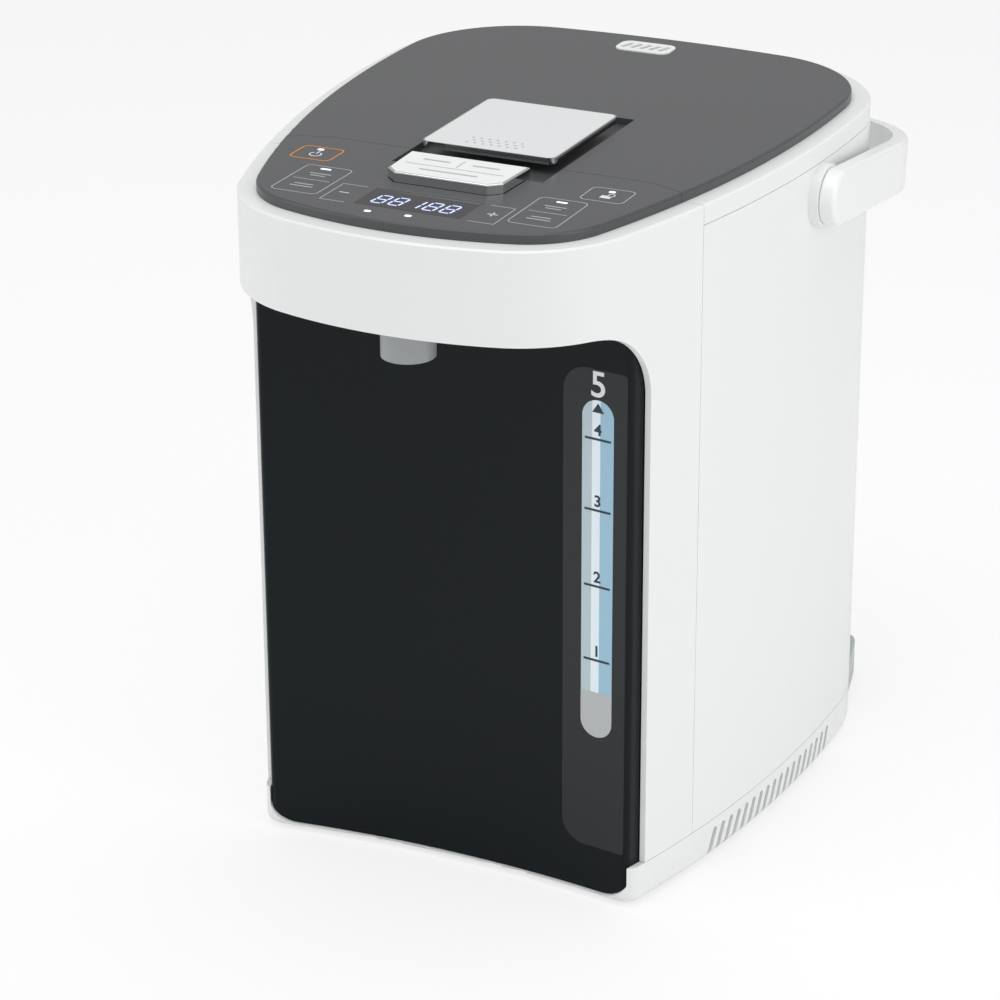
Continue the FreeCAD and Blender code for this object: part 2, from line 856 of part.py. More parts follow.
def display_block(gap):
    return box(-display_half - gap, display_half + gap, display_front_y - gap,
               display_rear_y + gap, cover_top_z - 1.5 - gap, cover_top_z + 0.02)


def display_window():
    return display_block(0)


def display_board():
    """Circuit board under the fascia that carries the digits and touch pads."""
    z1 = flange_top_z - shell_wall - 0.1
    board = body_block(cover_inset + 4.5, z1 - board_thickness, z1)
    board = board.common(front_of(key_front_y - 6))
    return board


def board_posts():
    """Four posts that carry the board from the head's floor."""
    z0 = head_bottom_z + shell_wall
    z1 = flange_top_z - shell_wall - 0.1 - board_thickness
    spots = [(-60, -176), (60, -176), (-34, -196), (34, -196)]
    return Part.makeCompound([upright(3.5, x, y, z0, z1) for x, y in spots])


def dispense_key():
    top = key_block(0, flange_top_z - 1, cover_top_z + key_rise)
    stem = upright(4, 0, key_mid_y(), switch_top_z() + 3.8, flange_top_z - 0.5)
    shape = top.fuse(stem).removeSplitter()
    return rounded(shape, 0.8, flat_at(cover_top_z + key_rise))


def key_mid_y():
    return (key_rear_y + key_front_y) / 2


def switch_top_z():
    return head_bottom_z + shell_wall + 24


def key_switch():
    """Micro switch under the key, on its bracket."""
    y = key_mid_y()
    block = box(-10, 10, y - 7, y + 7, head_bottom_z + shell_wall, switch_top_z())
    return block.fuse(upright(2, 0, y, switch_top_z(), switch_top_z() + 1.2))


def key_guide():
    """Tray under the fascia that guides the key and closes the opening below it."""
    z1 = flange_top_z - shell_wall - 0.1
    y0, y1 = key_front_y - 5, key_rear_y + 5
    plate = box(-key_half_rear - 5, key_half_rear + 5, y0, y1, z1 - 6, z1)
    plate = plate.cut(key_block(0.6, z1 - 4, z1 + 2))
    plate = plate.cut(upright(4.4, 0, key_mid_y(), z1 - 10, z1 + 2))
    legs = []
    for sx in (-1, 1):
        x = sx * (key_half_rear + 2)
        legs.append(box(x - 2.5, x + 2.5, y0, y0 + 5, head_bottom_z + shell_wall, z1 - 5))
        legs.append(box(x - 2.5, x + 2.5, y1 - 5, y1, head_bottom_z + shell_wall, z1 - 5))
    for leg in legs:
        plate = plate.fuse(leg)
    return plate.removeSplitter()


def key_spring():
    """Wound return spring between the guide's floor and the key."""
    z0 = flange_top_z - shell_wall - 0.1 - 4 + spring_wire
    height = flange_top_z - 1 - spring_wire - z0
    helix = Part.makeHelix(height / spring_turns, height, spring_radius)
    circle = Part.Wire(Part.makeCircle(spring_wire, Vector(spring_radius, 0, 0), Vector(0, 1, 0)))
    spring = Part.Wire(helix).makePipeShell([circle], True, True)
    spring.translate(Vector(0, key_mid_y(), z0))
    return spring


def power_board():
    """Control circuit board beside the pump, under the pot."""
    z0 = foot_height + plate_thickness + board_standoff
    return box(board_left_x, board_right_x, board_front_y, board_rear_y, z0,
               z0 + board_thickness)


def power_posts():
    z0 = foot_height + plate_thickness
    spots = [(x, y) for x in (board_left_x + 5, board_right_x - 5)
             for y in (board_front_y + 5, board_rear_y - 5)]
    posts = [upright(3, x, y, z0, z0 + board_standoff) for x, y in spots]
    return Part.makeCompound(posts)


def pot_legs():
    """Three legs on the bottom plate that carry the pot."""
    z0 = foot_height + plate_thickness
    legs = []
    for x, y in leg_spots():
        leg = upright(leg_radius, x, y, z0, pot_floor_z - pot_wall)
        legs.append(leg.cut(upright(screw_radius, x, y, 0, z0 + screw_length)))
    return Part.makeCompound(legs)


def leg_spots():
    turns = [math.radians(angle) for angle in (90, 210, 330)]
    return [(leg_ring_radius * math.cos(a), leg_ring_radius * math.sin(a)) for a in turns]


# Lid and what it carries

def lid_shell():
    """White tray of the lid with its skirt."""
    z0 = skirt_seam_z + seam_gap / 2
    outer = body_block(0, z0, flange_top_z)
    outer = outer.makeChamfer(rim_chamfer, edges_at(outer, flat_at(flange_top_z)))
    inner = body_block(shell_wall, z0 - 1, flange_top_z - shell_wall)
    shell = outer.cut(inner).common(rear_of(seam_y + seam_gap / 2))
    front_wall = box(-half_width, half_width, split_y + 1, split_y + 1 + shell_wall,
                     z0, flange_top_z - 1)
    front_wall = front_wall.common(body_block(shell_wall / 2, z0 - 1, flange_top_z))
    shell = shell.fuse(front_wall)
    shell = shell.cut(box(-channel_half - 58, channel_half + 58, seam_y - 5, split_y + 1,
                          z0 - 1, flange_top_z + 1))
    slot = box(-bolt_half - clearance, bolt_half + clearance, split_y - 5, split_y + 8,
               bolt_z() - clearance, bolt_z() + bolt_thickness + clearance)
    shell = shell.cut(slot)
    for sign in (-1, 1):
        x0 = sign * (ear_inner_x + ear_width + clearance)
        x1 = x0 + sign * knuckle_width
        a, b = min(x0, x1), max(x0, x1)
        web = box(a, b, rear_y - 3, hinge_y, hinge_z - 2.5, hinge_z + barrel_radius)
        barrel = rod(barrel_radius, Vector(a, hinge_y, hinge_z), Vector(b, hinge_y, hinge_z))
        shell = shell.fuse(web).fuse(barrel)
    shell = shell.cut(rod(hinge_pin_radius + running_fit, Vector(-60, hinge_y, hinge_z),
                          Vector(60, hinge_y, hinge_z)))
    shell = shell.cut(vent_block(0.1, flange_top_z - 20, flange_top_z + 1, 2))
    shell = shell.cut(release_arm_space())
    return shell.removeSplitter()


def bolt_z():
    return flange_top_z - shell_wall - clearance - bolt_thickness


def lid_top():
    shape = dark_cover().cut(split_tool(seam_gap / 2))
    shape = shape.cut(channel_tool())
    shape = shape.cut(vent_block(0.1, flange_top_z - 1, cover_top_z + 1, 0))
    return shape.cut(release_arm_space())


def vent_block(gap, z0, z1, inset):
    half = vent_half - inset + gap
    depth = vent_depth / 2 - inset / 2 + gap
    block = box(vent_x - half, vent_x + half, vent_y - depth, vent_y + depth, z0, z1)
    corners = [e for e in block.Edges if e.BoundBox.ZLength > z1 - z0 - 0.01]
    return block.makeFillet(vent_corner - inset + gap, corners)


def steam_vent():
    shape = vent_block(0, flange_top_z, cover_top_z + 0.6, 0)
    shape = shape.fuse(vent_block(0, flange_top_z - 9, flange_top_z, 2))
    shape = shape.cut(vent_block(0, flange_top_z - 12, cover_top_z - 1.5, 4))
    for i in range(vent_slots):
        x = vent_x + (i - (vent_slots - 1) / 2) * vent_slot_pitch
        slot = box(x - vent_slot_width / 2, x + vent_slot_width / 2, vent_y - 4, vent_y + 4,
                   flange_top_z, cover_top_z + 3)
        slot.rotate(Vector(x, vent_y, 0), Vector(0, 0, 1), -20)
        shape = shape.cut(slot)
    return shape


def inner_lid():
    z1 = inner_lid_z + inner_lid_thickness
    plate = upright(inner_lid_radius, 0, 0, inner_lid_z, z1)
    wall = ring(inner_lid_radius - 4, inner_lid_radius - 6.5, 0, 0, z1 - 0.5,
                flange_top_z - shell_wall)
    shape = plate.fuse(wall)
    front_gap = box(-bolt_half - 5, bolt_half + 5, -inner_lid_radius, release_pivot_y,
                    bolt_z() - 3, flange_top_z)
    shape = shape.cut(front_gap).cut(upright(steam_hole, vent_x, vent_y - 22, inner_lid_z - 1, z1 + 1))
    shape = shape.cut(vent_block(clearance, z1, flange_top_z, 2))
    return shape.removeSplitter()


def lid_gasket():
    return ring(inner_lid_radius - 1, inner_lid_radius - 1 - gasket_width, 0, 0,
                pot_flange_z + clearance, inner_lid_z)


def hinge_pin():
    reach = ear_inner_x + ear_width + knuckle_width + 1
    return rod(hinge_pin_radius, Vector(-reach, hinge_y, hinge_z), Vector(reach, hinge_y, hinge_z))


# Release plate: a flap that draws the latch bolt back

def release_axis():
    """Point on the plate's pivot line, below the lid's top."""
    return Vector(0, release_pivot_y, release_pivot_z)


def release_arm_space():
    """Slot through the lid for the plate's arm, over its whole swing."""
    return box(-arm_half - 1, arm_half + 1, release_pivot_y - 2.5, release_rear_y + 0.5,
               flange_top_z - 12, cover_top_z + 1)


def release_plate():
    z0 = cover_top_z + release_lift
    z1 = z0 + release_thickness
    block = box(-release_half_width, release_half_width, release_front_y, release_rear_y, z0, z1)
    corners = [e for e in block.Edges if e.BoundBox.ZLength > release_thickness - 0.1]
    block = block.makeFillet(release_corner, corners)
    axis = release_axis()
    barrel = rod(release_barrel_radius, axis + Vector(-barrel_half, 0, 0),
                 axis + Vector(barrel_half, 0, 0))
    arm = box(-arm_half, arm_half, axis.y - 1.2, axis.y + 1.2, axis.z, z0 + 1)
    shape = block.fuse(barrel).fuse(arm)
    shape = shape.cut(rod(release_pin_radius + running_fit, axis + Vector(-barrel_half - 1, 0, 0),
                          axis + Vector(barrel_half + 1, 0, 0)))
    return shape.removeSplitter()


def release_pin():
    axis = release_axis()
    half = barrel_half + clearance + bearing_width
    return rod(release_pin_radius, axis + Vector(-half, 0, 0), axis + Vector(half, 0, 0))


def release_bearings():
    """Two brackets under the lid that carry the ends of the plate's pin."""
    axis = release_axis()
    blocks = []
    for sign in (-1, 1):
        x0 = sign * (barrel_half + clearance)
        x1 = x0 + sign * bearing_width
        block = box(min(x0, x1), max(x0, x1), axis.y - 4, axis.y + 4, axis.z - 4,
                    flange_top_z - shell_wall)
        blocks.append(block.cut(rod(release_pin_radius, axis + Vector(-60, 0, 0),
                                    axis + Vector(60, 0, 0))))
    return Part.makeCompound(blocks)


def latch_bolt():
    z0 = bolt_z()
    axis = release_axis()
    bolt = box(-bolt_half, bolt_half, split_y + seam_gap / 2, bolt_rear_y, z0,
               z0 + bolt_thickness)
    window = box(-arm_half - clearance, arm_half + clearance, axis.y - 2.8, axis.y + 2.4,
                 z0 - 1, z0 + bolt_thickness + 1)
    return bolt.cut(window)


def bolt_guide():
    """Two straps under the lid tray that the bolt slides in."""
    z0 = bolt_z()
    straps = []
    for y in (-92, -62):
        strap = box(-bolt_half - 4, bolt_half + 4, y - 4, y + 4, z0 - 2.5,
                    flange_top_z - shell_wall)
        strap = strap.cut(box(-bolt_half - clearance, bolt_half + clearance, y - 5, y + 5,
                              z0 - clearance, flange_top_z))
        straps.append(strap)
    return Part.makeCompound(straps)


# Carrying handle

def handle_bail():
    inner_x = half_width + arm_gap
    outer_x = inner_x + arm_thickness
    rear_in = pivot_y + handle_reach
    rear_out = rear_in + arm_thickness
    z0, z1 = pivot_z - arm_half_height, pivot_z + arm_half_height
    outer = bail_block(outer_x, rear_out, handle_corner + arm_thickness, z0, z1)
    inner = bail_block(inner_x, rear_in, handle_corner, z0 - 1, z1 + 1)
    shape = outer.cut(inner)
    front = pivot_y
    for sign in (-1, 1):
        a, b = min(sign * inner_x, sign * outer_x), max(sign * inner_x, sign * outer_x)
        end = rod(arm_half_height, Vector(a, front, pivot_z), Vector(b, front, pivot_z))
        shape = shape.fuse(end)
    shape = shape.removeSplitter()
    shape = shape.makeFillet(2.4, outer_edges(shape))
    for sign in (-1, 1):
        a = Vector(sign * (inner_x - 2), pivot_y, pivot_z)
        b = Vector(sign * (outer_x - 2.5), pivot_y, pivot_z)
        shape = shape.cut(rod(pivot_pin_radius + running_fit, a, b))
    shape.rotate(Vector(0, pivot_y, pivot_z), Vector(1, 0, 0), handle_tilt)
    return shape


def outer_edges(shape):
    """Long edges along the bail's outer face."""
    picked = []
    for e in shape.Edges:
        b = e.BoundBox
        flat = abs(b.ZLength) < 0.01
        outside = max(abs(b.XMin), abs(b.XMax)) > half_width + arm_gap + arm_thickness - 0.01
        rear = b.YMax > pivot_y + handle_reach + arm_thickness - 0.01
        if flat and (outside or rear) and b.DiagonalLength > 20:
            picked.append(e)
    return picked


def bail_block(half_x, rear, corner, z0, z1):
    start = Vector(half_x, pivot_y, z0)
    side = Vector(half_x, rear - corner, z0)
    center = Vector(half_x - corner, rear - corner, z0)
    turn = corner * math.sqrt(0.5)
    middle = center + Vector(turn, turn, 0)
    back = Vector(half_x - corner, rear, z0)
    edges = [
        Part.makeLine(mirror_x(start), start),
        Part.makeLine(start, side),
        Part.Arc(side, middle, back).toShape(),
        Part.makeLine(back, mirror_x(back)),
        Part.Arc(mirror_x(back), mirror_x(middle), mirror_x(side)).toShape(),
        Part.makeLine(mirror_x(side), mirror_x(start)),
    ]
    return Part.Face(Part.Wire(edges)).extrude(Vector(0, 0, z1 - z0))


def handle_pins():
    pins = []
    for sign in (-1, 1):
        narrow = body_side_x(pivot_y - pivot_head_radius)
        inside = narrow - shell_wall - clearance
        a = Vector(sign * (inside - 3), pivot_y, pivot_z)
        b = Vector(sign * (half_width + arm_gap + arm_thickness - 3), pivot_y, pivot_z)
        head = rod(pivot_head_radius, a, Vector(sign * inside, pivot_y, pivot_z))
        pins.append(rod(pivot_pin_radius, a, b).fuse(head).removeSplitter())
    return Part.makeCompound(pins)


def base_screws():
    """Screws through the bottom plate into the pot legs."""
    screws = []
    for x, y in leg_spots():
        head = upright(screw_head_radius, x, y, foot_height - screw_head_height, foot_height)
        shank = upright(screw_radius, x, y, foot_height, foot_height + screw_length)
        screws.append(head.fuse(shank).removeSplitter())
    return Part.makeCompound(screws)


pieces = {
    "front_shell": front_shell,
    "side_rear_cover": side_rear_cover,
    "base_ring": base_ring,
    "bottom_plate": bottom_plate,
    "rubber_feet": feet,
    "rear_bumper": rear_bumper,
    "inlet_housing": inlet_housing,
    "inlet_pins": inlet_pins,
    "front_panel": front_panel,
    "gauge_lens": gauge_lens,
    "gauge_scale": gauge_scale,
    "sight_tube": sight_tube,
    "gauge_brackets": gauge_brackets,
    "level_hose": level_hose,
    "inner_pot": inner_pot,
    "top_ring": top_ring,
    "heater": heater,
    "pump_housing": pump_housing,
    "pump_impeller": impeller,
    "pump_motor": pump_motor,
    "outlet_pipe": outlet_pipe,
    "spout": spout,
    "control_fascia": control_fascia,
    "display_window": display_window,
    "display_board": display_board,
    "board_posts": board_posts,
    "dispense_key": dispense_key,
    "key_switch": key_switch,
    "key_guide": key_guide,
    "key_spring": key_spring,
    "power_board": power_board,
    "power_posts": power_posts,
    "pot_legs": pot_legs,
    "base_screws": base_screws,
    "lid_shell": lid_shell,
    "lid_top": lid_top,
    "steam_vent": steam_vent,
    "inner_lid": inner_lid,
    "lid_gasket": lid_gasket,
    "hinge_pin": hinge_pin,
    "release_plate": release_plate,
    "release_pin": release_pin,
    "release_bearings": release_bearings,
    "latch_bolt": latch_bolt,
    "bolt_guide": bolt_guide,
    "handle_bail": handle_bail,
    "handle_pins": handle_pins,
}

for name, make in pieces.items():
    save(name, make())
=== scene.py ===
import bpy
import math
import numpy as np
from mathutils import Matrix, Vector


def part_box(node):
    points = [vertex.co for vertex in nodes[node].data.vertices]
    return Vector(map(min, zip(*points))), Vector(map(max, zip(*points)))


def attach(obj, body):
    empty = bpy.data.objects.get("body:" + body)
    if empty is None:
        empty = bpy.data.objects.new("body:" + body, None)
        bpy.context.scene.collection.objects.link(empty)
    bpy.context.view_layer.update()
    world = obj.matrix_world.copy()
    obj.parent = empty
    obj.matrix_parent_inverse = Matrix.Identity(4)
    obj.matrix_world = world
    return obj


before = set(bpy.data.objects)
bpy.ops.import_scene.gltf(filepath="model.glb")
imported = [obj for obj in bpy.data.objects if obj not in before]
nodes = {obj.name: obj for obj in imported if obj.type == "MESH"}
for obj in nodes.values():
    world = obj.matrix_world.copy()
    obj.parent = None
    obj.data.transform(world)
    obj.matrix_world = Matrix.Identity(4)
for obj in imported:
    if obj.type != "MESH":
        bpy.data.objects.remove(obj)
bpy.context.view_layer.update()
mm = 0.001
print("frame loaded,", len(nodes), "nodes")


def hexColour(code):
    # sRGB hex to the linear values that a shader takes
    values = [int(code[i:i + 2], 16) / 255 for i in (1, 3, 5)]
    linear = [v / 12.92 if v <= 0.04045 else ((v + 0.055) / 1.055) ** 2.4 for v in values]
    return (*linear, 1.0)


def newMaterial(name, colour, **sockets):
    material = bpy.data.materials.new(name)
    material.use_nodes = True
    shader = material.node_tree.nodes["Principled BSDF"]
    shader.inputs["Base Color"].default_value = hexColour(colour)
    for key, value in sockets.items():
        shader.inputs[key.replace("_", " ")].default_value = value
    return material


def addNode(material, kind, settings=None, links=None):
    tree = material.node_tree
    node = tree.nodes.new(kind)
    for key, value in (settings or {}).items():
        if isinstance(key, int) or key in node.inputs:
            node.inputs[key].default_value = value
        else:
            setattr(node, key, value)
    for key, source in (links or {}).items():
        tree.links.new(source, node.inputs[key])
    return node


def mouldedGrain(material, grainMm, strength):
    # fine texture of a moulding tool; real grain is near 0.2 mm, drawn coarser so that it shows
    place = addNode(material, "ShaderNodeTexCoord")
    grain = addNode(material, "ShaderNodeTexNoise", {"Scale": 1000 / grainMm, "Detail": 2.0},
                    {"Vector": place.outputs["Object"]})
    bump = addNode(material, "ShaderNodeBump", {"Strength": strength, "Distance": 0.0001},
                   {"Height": grain.outputs["Fac"]})
    shader = material.node_tree.nodes["Principled BSDF"]
    material.node_tree.links.new(bump.outputs["Normal"], shader.inputs["Normal"])
    return material


# moulded glossy ABS: clean white with a soft broad reflection
whiteAbs = newMaterial("whiteAbs", "#eceeee", Roughness=0.24, IOR=1.5)
# the same ABS, made a little lighter as a painted highlight and given a higher polish, for the top
# ledge and the bail
whiteAbsLitPolished = newMaterial("whiteAbsLitPolished", "#f2f3f3", Roughness=0.16, IOR=1.5)
# pigmented ABS of the lid: dark grey, satin from a fine moulded grain
greyAbs = mouldedGrain(newMaterial("greyAbs", "#4a4b4d", Roughness=0.34, IOR=1.5), 0.6, 0.05)
# painted shade: the lid's turned-down edge is the same ABS made darker where its side falls in
# shade, and a little glossier
greyAbsShadedEdge = newMaterial("greyAbsShadedEdge", "#2f3133", Roughness=0.22, IOR=1.5)
# painted back of a clear acrylic sheet: deep black gloss
blackAcrylic = newMaterial("blackAcrylic", "#101619", Roughness=0.12, IOR=1.49,
                           Specular_IOR_Level=0.15)
# smoked polycarbonate lens over the gauge; its colour is a little lighter than the panel, partly its
# own smoke tint and partly a painted reflection
smokedLensWithSheen = newMaterial("smokedLensWithSheen", "#1c2022", Roughness=0.1, IOR=1.58,
                         Specular_IOR_Level=0.3)
# chrome plate on ABS: bright mirror
chromePlate = newMaterial("chromePlate", "#d9dadb", Metallic=1.0, Roughness=0.09)
# lacquered satin face of the release plate: nearly white, with a little metal in it
satinChrome = newMaterial("satinChrome", "#eff0f1", Metallic=0.25, Roughness=0.3)
# glass-like display window
displayGlass = newMaterial("displayGlass", "#0a0b0d", Roughness=0.06, IOR=1.5)
# screen print: matt ink, no gloss of its own
whiteInk = newMaterial("whiteInk", "#e6e8ea", Roughness=0.55)
tealInk = newMaterial("tealInk", "#17323c", Roughness=0.5)
orangeInk = newMaterial("orangeInk", "#e08a2c", Roughness=0.5)
greyInk = newMaterial("greyInk", "#b4b6b8", Roughness=0.55)
# acrylic sight tube before its white plate, with water inside; tubeHighlight and tubeShade are a
# painted highlight and a painted shade across the tube
tubeBlue = newMaterial("tubeBlue", "#9cc3d8", Roughness=0.12, IOR=1.49)
tubeHighlight = newMaterial("tubeHighlight", "#e8f4fb", Roughness=0.12, IOR=1.49)
tubeShade = newMaterial("tubeShade", "#b9cbd2", Roughness=0.2, IOR=1.49)
refillGrey = newMaterial("refillGrey", "#b7bbbd", Roughness=0.4)
# spun stainless steel of the pot and the lid's underside
steelSpun = newMaterial("steelSpun", "#b9babb", Metallic=1.0, Roughness=0.28)
zincScrew = newMaterial("zincScrew", "#a6a8aa", Metallic=1.0, Roughness=0.35)
brassPin = newMaterial("brassPin", "#b8a05a", Metallic=1.0, Roughness=0.25)
aluminiumCast = newMaterial("aluminiumCast", "#9fa1a3", Metallic=1.0, Roughness=0.45)
# polypropylene mouldings inside and below
greyPolypropylene = mouldedGrain(
    newMaterial("greyPolypropylene", "#8d9193", Roughness=0.5, IOR=1.49), 0.8, 0.15)
darkPolypropylene = mouldedGrain(
    newMaterial("darkPolypropylene", "#3c4042", Roughness=0.5, IOR=1.49), 0.8, 0.15)
# painted shade: the rear bumper's ABS is given a light grey that stands in for the shade on its
# sloping underside
rearAbsShaded = newMaterial("rearAbsShaded", "#b9bec0", Roughness=0.35, IOR=1.5)
spoutAbs = newMaterial("spoutAbs", "#9b9fa1", Roughness=0.26, IOR=1.5)
siliconeRubber = newMaterial("siliconeRubber", "#d8d8d2", Roughness=0.45, IOR=1.41)
footRubber = newMaterial("footRubber", "#232426", Roughness=0.7, IOR=1.52)
boardLaminate = newMaterial("boardLaminate", "#1d5a34", Roughness=0.4, IOR=1.55)


def litInk(name, colour, strength):
    # light-emitting diode behind a diffuser
    return newMaterial(name, colour, Emission_Color=hexColour(colour), Emission_Strength=strength,
                       Roughness=0.5)


digitLight = litInk("digitLight", "#b9c4f4", 0.9)
lampLight = litInk("lampLight", "#dfe6ff", 0.9)

nodeFinish = {
    "front_shell": whiteAbs, "side_rear_cover": whiteAbs, "base_ring": whiteAbs,
    "bottom_plate": greyPolypropylene, "rubber_feet": footRubber, "rear_bumper": rearAbsShaded,
    "inlet_housing": darkPolypropylene, "inlet_pins": brassPin, "front_panel": blackAcrylic,
    "gauge_lens": smokedLensWithSheen, "gauge_scale": whiteAbs, "sight_tube": tubeBlue,
    "gauge_brackets": darkPolypropylene, "level_hose": siliconeRubber, "inner_pot": steelSpun,
    "top_ring": greyPolypropylene, "heater": aluminiumCast, "pump_housing": greyPolypropylene,
    "pump_impeller": darkPolypropylene, "pump_motor": zincScrew, "outlet_pipe": siliconeRubber,
    "spout": spoutAbs, "control_fascia": greyAbs, "display_window": displayGlass,
    "display_board": boardLaminate, "board_posts": darkPolypropylene,
    "dispense_key": chromePlate, "key_switch": darkPolypropylene,
    "key_guide": darkPolypropylene, "key_spring": zincScrew, "power_board": boardLaminate,
    "power_posts": darkPolypropylene, "pot_legs": darkPolypropylene, "base_screws": zincScrew,
    "lid_shell": whiteAbs, "lid_top": greyAbs, "steam_vent": whiteAbsLitPolished,
    "inner_lid": steelSpun, "lid_gasket": siliconeRubber, "hinge_pin": zincScrew,
    "release_plate": chromePlate, "release_pin": zincScrew,
    "release_bearings": greyPolypropylene, "latch_bolt": greyPolypropylene,
    "bolt_guide": greyPolypropylene, "handle_bail": whiteAbsLitPolished,
    "handle_pins": darkPolypropylene,
}

for name, material in nodeFinish.items():
    mesh = nodes[name].data
    mesh.materials.clear()
    mesh.materials.append(material)
print("finishes set,", len(bpy.data.materials), "materials")


def addPiece(name, points, faces, material, body, smooth=False):
    mesh = bpy.data.meshes.new(name)
    mesh.from_pydata(np.asarray(points, dtype=float).tolist(), [], faces)
    mesh.materials.append(material)
    if smooth:
        mesh.shade_smooth()
    piece = bpy.data.objects.new(name, mesh)
    bpy.context.scene.collection.objects.link(piece)
    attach(piece, body)
    return piece


def slabFaces(count):
    # a closed prism over an outline of count points: bottom ring first, then top ring
    bottom = list(range(count))[::-1]
    top = [count + i for i in range(count)]
    sides = [(i, (i + 1) % count, count + (i + 1) % count, count + i) for i in range(count)]
    return [tuple(bottom), tuple(top)] + sides


def slabPoints(outline, low, high):
    # outline (n,2) anticlockwise seen from above, lifted to two heights
    outline = np.asarray(outline, dtype=float)
    count = len(outline)
    return np.vstack([np.column_stack([outline, np.full(count, low)]),
                      np.column_stack([outline, np.full(count, high)])])


def ringFaces(count):
    # closed band between an outer and an inner outline, both at two heights
    a, b, c, d = 0, count, 2 * count, 3 * count
    faces = []
    for i in range(count):
        j = (i + 1) % count
        faces += [(a + i, a + j, b + j, b + i), (b + i, b + j, d + j, d + i),
                  (d + i, d + j, c + j, c + i), (c + i, c + j, a + j, a + i)]
    return faces


def roundedBox(cx, cy, halfX, halfY, radius, steps=6):
    # rounded rectangle: a quarter turn about each corner centre
    turn = np.linspace(0, np.pi / 2, steps)
    corners = [(1, 1, 0), (-1, 1, 1), (-1, -1, 2), (1, -1, 3)]
    parts = []
    for sx, sy, quarter in corners:
        angle = turn + quarter * np.pi / 2
        parts.append(np.column_stack([cx + sx * (halfX - radius) + radius * np.cos(angle),
                                      cy + sy * (halfY - radius) + radius * np.sin(angle)]))
    return np.vstack(parts)


def inkFrame(name, cx, cy, halfX, halfY, radius, width, top, material, body, drop=0.05 * mm):
    # printed line round a rounded rectangle
    outer = roundedBox(cx, cy, halfX, halfY, radius)
    inner = roundedBox(cx, cy, halfX - width, halfY - width, max(radius - width, 0.1 * mm))
    low, high = top - drop, top + 0.08 * mm
    points = np.vstack([slabPoints(outer, low, high), slabPoints(inner, low, high)])
    return addPiece(name, points, ringFaces(len(outer)), material, body)


def inkBar(name, cx, cy, halfX, halfY, top, material, body, turn=0.0):
    corners = np.array([[1, 1], [-1, 1], [-1, -1], [1, -1]]) * [halfX, halfY]
    c, s = math.cos(turn), math.sin(turn)
    outline = corners @ np.array([[c, s], [-s, c]]) + [cx, cy]
    return addPiece(name, slabPoints(outline, top - 0.05 * mm, top + 0.08 * mm), slabFaces(4),
                    material, body)


def joinPieces(name, pieces):
    # several small prints that belong together become one piece
    bpy.ops.object.select_all(action="DESELECT")
    for piece in pieces:
        piece.select_set(True)
    bpy.context.view_layer.objects.active = pieces[0]
    bpy.ops.object.join()
    pieces[0].name = name
    return pieces[0]


fascia = {
    "top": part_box("control_fascia")[1][2],
    "powerX": -72.5, "unlockX": 70.0, "padY": -132.8, "padHalf": (10.3, 9.0),
    "leftPairX": -57.0, "leftPairY": -166.5, "rightPairX": 56.0, "rightPairY": -164.5,
    "pairHalf": (11.5, 18.4), "signX": 35.6, "signY": -176.8, "line": 0.45,
}


def addTouchPads():
    f = fascia
    z = f["top"]
    body = "pot"
    w = f["line"] * mm
    prints = []
    hx, hy = f["padHalf"][0] * mm, f["padHalf"][1] * mm
    prints.append(inkFrame("powerPad", f["powerX"] * mm, f["padY"] * mm, hx, hy, 3 * mm, w * 1.5, z,
                           orangeInk, body))
    prints.append(inkFrame("unlockPad", f["unlockX"] * mm, f["padY"] * mm, hx, hy, 3 * mm, w, z,
                           greyInk, body))
    px, py = f["pairHalf"][0] * mm, f["pairHalf"][1] * mm
    for side, cx, cy in (("left", f["leftPairX"], f["leftPairY"]),
                         ("right", f["rightPairX"], f["rightPairY"])):
        outline = inkFrame(side + "Pair", cx * mm, cy * mm, px, py, 3 * mm, w, z, greyInk, body)
        divider = inkBar(side + "Divider", cx * mm, (cy - 0.6) * mm, px * 0.78, 0.22 * mm, z,
                         greyInk, body)
        prints.append(joinPieces(side + "PairPad", [outline, divider]))
    return prints


signPad = {"outer": 41.5, "inner": 29.5, "rear": -166.0, "front": -188.5, "barHalf": 2.4,
           "barThin": 0.3, "edgeThin": 0.22, "endHalf": 11.4}


def addSigns():
    f = fascia
    p = signPad
    z = f["top"]
    pieces = []
    for side, sign in (("minus", -1), ("plus", 1)):
        x, y = sign * f["signX"] * mm, f["signY"] * mm
        long, thin, edgeThin = p["barHalf"] * mm, p["barThin"] * mm, p["edgeThin"] * mm
        parts = [inkBar(side + "Bar", x, y, long, thin, z, whiteInk, "pot")]
        if sign > 0:
            parts.append(inkBar("plusUpright", x, y, thin, long, z, whiteInk, "pot"))
        outer = sign * p["outer"] * mm
        inner = sign * p["inner"] * mm
        middle, half = (outer + inner) / 2, abs(outer - inner) / 2
        for edge in (p["rear"], p["front"]):
            parts.append(inkBar(side + "Edge", middle, edge * mm, half, edgeThin, z, greyInk, "pot"))
        middleY = (p["rear"] + p["front"]) / 2 * mm
        parts.append(inkBar(side + "End", outer, middleY, edgeThin, p["endHalf"] * mm, z,
                            greyInk, "pot"))
        pieces.append(joinPieces(side + "Pad", parts))
    return pieces


